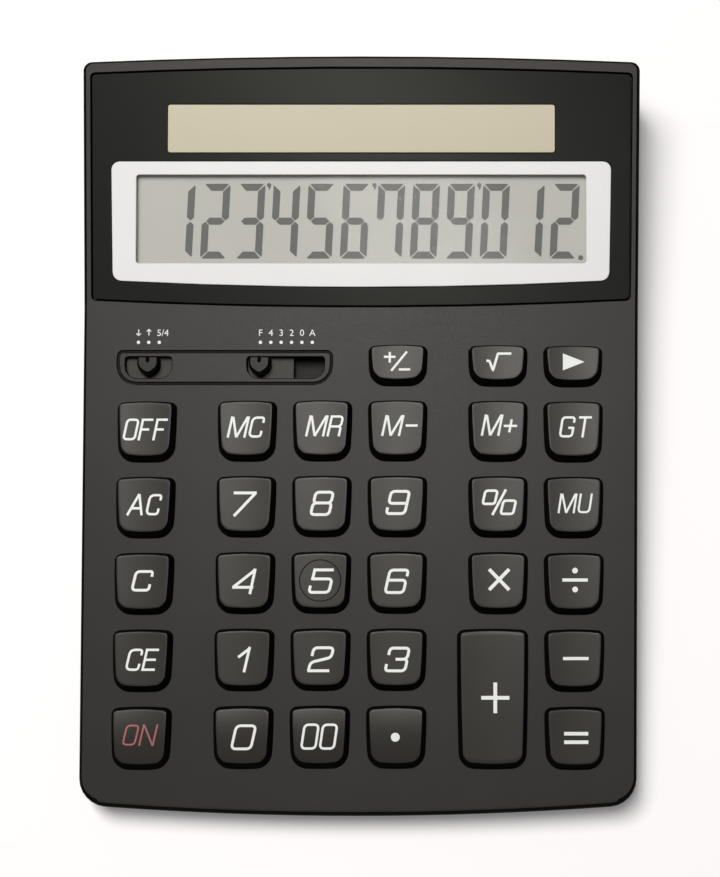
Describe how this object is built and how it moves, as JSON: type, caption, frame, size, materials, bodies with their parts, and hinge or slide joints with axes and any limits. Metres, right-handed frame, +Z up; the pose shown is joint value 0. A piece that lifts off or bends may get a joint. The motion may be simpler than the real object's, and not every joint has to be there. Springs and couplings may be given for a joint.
{
  "type": "desk calculator",
  "caption": "Solar desk calculator: wedge case with a raised display panel, sprung keys over a rubber membrane and slide switches, on rubber feet.",
  "frame": {"origin": "middle of the footprint, on the table under the feet", "axes": "+X to the user's right, +Y from the front edge to the display end, +Z up"},
  "size_m": [0.1552, 0.2106, 0.036],
  "materials": {
    "case_plastic": "fine moulded grain, satin",
    "base_plastic": "moulded grain, matt",
    "foot_rubber": "matt",
    "screw_steel": "zinc plated",
    "panel_plastic": "smooth satin",
    "bezel_plastic": "smooth satin",
    "window_clear": "clear, smooth",
    "lcd_glass": "grey reflective display",
    "zebra_rubber": "striped elastomer",
    "holder_plastic": "moulded",
    "board_laminate": "lacquered board",
    "resin": "cured resin",
    "capacitor_sleeve": "shrink sleeve",
    "solar_cover": "pale smooth cover",
    "solar_glass": "dark cell behind glass",
    "lead_insulation": "wire insulation",
    "ribbon_film": "polyimide film",
    "membrane_rubber": "moulded silicone",
    "key_plastic": "satin keytop",
    "knob_plastic": "satin",
    "contact_brass": "sprung sheet"
  },
  "bodies": {
    "case": {"top_case": "case_plastic", "bottom_case": "base_plastic", "rubber_feet": "foot_rubber", "case_screws": "screw_steel", "display_panel": "panel_plastic", "lcd_bezel": "bezel_plastic", "lcd_window": "window_clear", "lcd_cell": "lcd_glass", "zebra_strips": "zebra_rubber", "lcd_holder": "holder_plastic", "display_board": "board_laminate", "display_screws": "screw_steel", "controller_chip": "resin", "buffer_capacitor": "capacitor_sleeve", "solar_window": "solar_cover", "solar_cell": "solar_glass", "solar_leads": "lead_insulation", "display_ribbon": "ribbon_film", "main_board": "board_laminate", "board_screws": "screw_steel", "keypad_membrane": "membrane_rubber"},
    "rounding_switch": {"rounding_knob": "knob_plastic", "rounding_wiper": "contact_brass"},
    "decimal_switch": {"decimal_knob": "knob_plastic", "decimal_wiper": "contact_brass"},
    "key_sign": {"key_sign": "key_plastic"},
    "key_root": {"key_root": "key_plastic"},
    "key_backspace": {"key_backspace": "key_plastic"},
    "key_off": {"key_off": "key_plastic"},
    "key_mc": {"key_mc": "key_plastic"},
    "key_mr": {"key_mr": "key_plastic"},
    "key_m_minus": {"key_m_minus": "key_plastic"},
    "key_m_plus": {"key_m_plus": "key_plastic"},
    "key_gt": {"key_gt": "key_plastic"},
    "key_ac": {"key_ac": "key_plastic"},
    "key_7": {"key_7": "key_plastic"},
    "key_8": {"key_8": "key_plastic"},
    "key_9": {"key_9": "key_plastic"},
    "key_percent": {"key_percent": "key_plastic"},
    "key_mu": {"key_mu": "key_plastic"},
    "key_c": {"key_c": "key_plastic"},
    "key_4": {"key_4": "key_plastic"},
    "key_5": {"key_5": "key_plastic"},
    "key_6": {"key_6": "key_plastic"},
    "key_times": {"key_times": "key_plastic"},
    "key_divide": {"key_divide": "key_plastic"},
    "key_ce": {"key_ce": "key_plastic"},
    "key_1": {"key_1": "key_plastic"},
    "key_2": {"key_2": "key_plastic"},
    "key_3": {"key_3": "key_plastic"},
    "key_minus": {"key_minus": "key_plastic"},
    "key_on": {"key_on": "key_plastic"},
    "key_0": {"key_0": "key_plastic"},
    "key_00": {"key_00": "key_plastic"},
    "key_point": {"key_point": "key_plastic"},
    "key_equals": {"key_equals": "key_plastic"},
    "key_plus": {"key_plus": "key_plastic"}
  },
  "joints": [
    {"name": "key_sign_press", "type": "slide", "parent": "case", "child": "key_sign", "axis": [0, 0.0872, -0.9962], "range_m": [0, 0.0018], "stiffness_N_per_m": 250, "springref_m": -0.0006, "deforming": ["keypad_membrane"]},
    {"name": "key_root_press", "type": "slide", "parent": "case", "child": "key_root", "axis": [0, 0.0872, -0.9962], "range_m": [0, 0.0018], "stiffness_N_per_m": 250, "springref_m": -0.0006, "deforming": ["keypad_membrane"]},
    {"name": "key_backspace_press", "type": "slide", "parent": "case", "child": "key_backspace", "axis": [0, 0.0872, -0.9962], "range_m": [0, 0.0018], "stiffness_N_per_m": 250, "springref_m": -0.0006, "deforming": ["keypad_membrane"]},
    {"name": "key_off_press", "type": "slide", "parent": "case", "child": "key_off", "axis": [0, 0.0872, -0.9962], "range_m": [0, 0.0018], "stiffness_N_per_m": 250, "springref_m": -0.0006, "deforming": ["keypad_membrane"]},
    {"name": "key_mc_press", "type": "slide", "parent": "case", "child": "key_mc", "axis": [0, 0.0872, -0.9962], "range_m": [0, 0.0018], "stiffness_N_per_m": 250, "springref_m": -0.0006, "deforming": ["keypad_membrane"]},
    {"name": "key_mr_press", "type": "slide", "parent": "case", "child": "key_mr", "axis": [0, 0.0872, -0.9962], "range_m": [0, 0.0018], "stiffness_N_per_m": 250, "springref_m": -0.0006, "deforming": ["keypad_membrane"]},
    {"name": "key_m_minus_press", "type": "slide", "parent": "case", "child": "key_m_minus", "axis": [0, 0.0872, -0.9962], "range_m": [0, 0.0018], "stiffness_N_per_m": 250, "springref_m": -0.0006, "deforming": ["keypad_membrane"]},
    {"name": "key_m_plus_press", "type": "slide", "parent": "case", "child": "key_m_plus", "axis": [0, 0.0872, -0.9962], "range_m": [0, 0.0018], "stiffness_N_per_m": 250, "springref_m": -0.0006, "deforming": ["keypad_membrane"]},
    {"name": "key_gt_press", "type": "slide", "parent": "case", "child": "key_gt", "axis": [0, 0.0872, -0.9962], "range_m": [0, 0.0018], "stiffness_N_per_m": 250, "springref_m": -0.0006, "deforming": ["keypad_membrane"]},
    {"name": "key_ac_press", "type": "slide", "parent": "case", "child": "key_ac", "axis": [0, 0.0872, -0.9962], "range_m": [0, 0.0018], "stiffness_N_per_m": 250, "springref_m": -0.0006, "deforming": ["keypad_membrane"]},
    {"name": "key_7_press", "type": "slide", "parent": "case", "child": "key_7", "axis": [0, 0.0872, -0.9962], "range_m": [0, 0.0018], "stiffness_N_per_m": 250, "springref_m": -0.0006, "deforming": ["keypad_membrane"]},
    {"name": "key_8_press", "type": "slide", "parent": "case", "child": "key_8", "axis": [0, 0.0872, -0.9962], "range_m": [0, 0.0018], "stiffness_N_per_m": 250, "springref_m": -0.0006, "deforming": ["keypad_membrane"]},
    {"name": "key_9_press", "type": "slide", "parent": "case", "child": "key_9", "axis": [0, 0.0872, -0.9962], "range_m": [0, 0.0018], "stiffness_N_per_m": 250, "springref_m": -0.0006, "deforming": ["keypad_membrane"]},
    {"name": "key_percent_press", "type": "slide", "parent": "case", "child": "key_percent", "axis": [0, 0.0872, -0.9962], "range_m": [0, 0.0018], "stiffness_N_per_m": 250, "springref_m": -0.0006, "deforming": ["keypad_membrane"]},
    {"name": "key_mu_press", "type": "slide", "parent": "case", "child": "key_mu", "axis": [0, 0.0872, -0.9962], "range_m": [0, 0.0018], "stiffness_N_per_m": 250, "springref_m": -0.0006, "deforming": ["keypad_membrane"]},
    {"name": "key_c_press", "type": "slide", "parent": "case", "child": "key_c", "axis": [0, 0.0872, -0.9962], "range_m": [0, 0.0018], "stiffness_N_per_m": 250, "springref_m": -0.0006, "deforming": ["keypad_membrane"]},
    {"name": "key_4_press", "type": "slide", "parent": "case", "child": "key_4", "axis": [0, 0.0872, -0.9962], "range_m": [0, 0.0018], "stiffness_N_per_m": 250, "springref_m": -0.0006, "deforming": ["keypad_membrane"]},
    {"name": "key_5_press", "type": "slide", "parent": "case", "child": "key_5", "axis": [0, 0.0872, -0.9962], "range_m": [0, 0.0018], "stiffness_N_per_m": 250, "springref_m": -0.0006, "deforming": ["keypad_membrane"]},
    {"name": "key_6_press", "type": "slide", "parent": "case", "child": "key_6", "axis": [0, 0.0872, -0.9962], "range_m": [0, 0.0018], "stiffness_N_per_m": 250, "springref_m": -0.0006, "deforming": ["keypad_membrane"]},
    {"name": "key_times_press", "type": "slide", "parent": "case", "child": "key_times", "axis": [0, 0.0872, -0.9962], "range_m": [0, 0.0018], "stiffness_N_per_m": 250, "springref_m": -0.0006, "deforming": ["keypad_membrane"]},
    {"name": "key_divide_press", "type": "slide", "parent": "case", "child": "key_divide", "axis": [0, 0.0872, -0.9962], "range_m": [0, 0.0018], "stiffness_N_per_m": 250, "springref_m": -0.0006, "deforming": ["keypad_membrane"]},
    {"name": "key_ce_press", "type": "slide", "parent": "case", "child": "key_ce", "axis": [0, 0.0872, -0.9962], "range_m": [0, 0.0018], "stiffness_N_per_m": 250, "springref_m": -0.0006, "deforming": ["keypad_membrane"]},
    {"name": "key_1_press", "type": "slide", "parent": "case", "child": "key_1", "axis": [0, 0.0872, -0.9962], "range_m": [0, 0.0018], "stiffness_N_per_m": 250, "springref_m": -0.0006, "deforming": ["keypad_membrane"]},
    {"name": "key_2_press", "type": "slide", "parent": "case", "child": "key_2", "axis": [0, 0.0872, -0.9962], "range_m": [0, 0.0018], "stiffness_N_per_m": 250, "springref_m": -0.0006, "deforming": ["keypad_membrane"]},
    {"name": "key_3_press", "type": "slide", "parent": "case", "child": "key_3", "axis": [0, 0.0872, -0.9962], "range_m": [0, 0.0018], "stiffness_N_per_m": 250, "springref_m": -0.0006, "deforming": ["keypad_membrane"]},
    {"name": "key_minus_press", "type": "slide", "parent": "case", "child": "key_minus", "axis": [0, 0.0872, -0.9962], "range_m": [0, 0.0018], "stiffness_N_per_m": 250, "springref_m": -0.0006, "deforming": ["keypad_membrane"]},
    {"name": "key_on_press", "type": "slide", "parent": "case", "child": "key_on", "axis": [0, 0.0872, -0.9962], "range_m": [0, 0.0018], "stiffness_N_per_m": 250, "springref_m": -0.0006, "deforming": ["keypad_membrane"]},
    {"name": "key_0_press", "type": "slide", "parent": "case", "child": "key_0", "axis": [0, 0.0872, -0.9962], "range_m": [0, 0.0018], "stiffness_N_per_m": 250, "springref_m": -0.0006, "deforming": ["keypad_membrane"]},
    {"name": "key_00_press", "type": "slide", "parent": "case", "child": "key_00", "axis": [0, 0.0872, -0.9962], "range_m": [0, 0.0018], "stiffness_N_per_m": 250, "springref_m": -0.0006, "deforming": ["keypad_membrane"]},
    {"name": "key_point_press", "type": "slide", "parent": "case", "child": "key_point", "axis": [0, 0.0872, -0.9962], "range_m": [0, 0.0018], "stiffness_N_per_m": 250, "springref_m": -0.0006, "deforming": ["keypad_membrane"]},
    {"name": "key_equals_press", "type": "slide", "parent": "case", "child": "key_equals", "axis": [0, 0.0872, -0.9962], "range_m": [0, 0.0018], "stiffness_N_per_m": 250, "springref_m": -0.0006, "deforming": ["keypad_membrane"]},
    {"name": "key_plus_press", "type": "slide", "parent": "case", "child": "key_plus", "axis": [0, 0.0872, -0.9962], "range_m": [0, 0.0018], "stiffness_N_per_m": 250, "springref_m": -0.0006, "deforming": ["keypad_membrane"]},
    {"name": "rounding_slide", "type": "slide", "parent": "case", "child": "rounding_switch", "axis": [1, 0, 0], "range_m": [-0.00287, 0.00287]},
    {"name": "decimal_slide", "type": "slide", "parent": "case", "child": "decimal_switch", "axis": [1, 0, 0], "range_m": [0, 0.01435]}
  ]
}
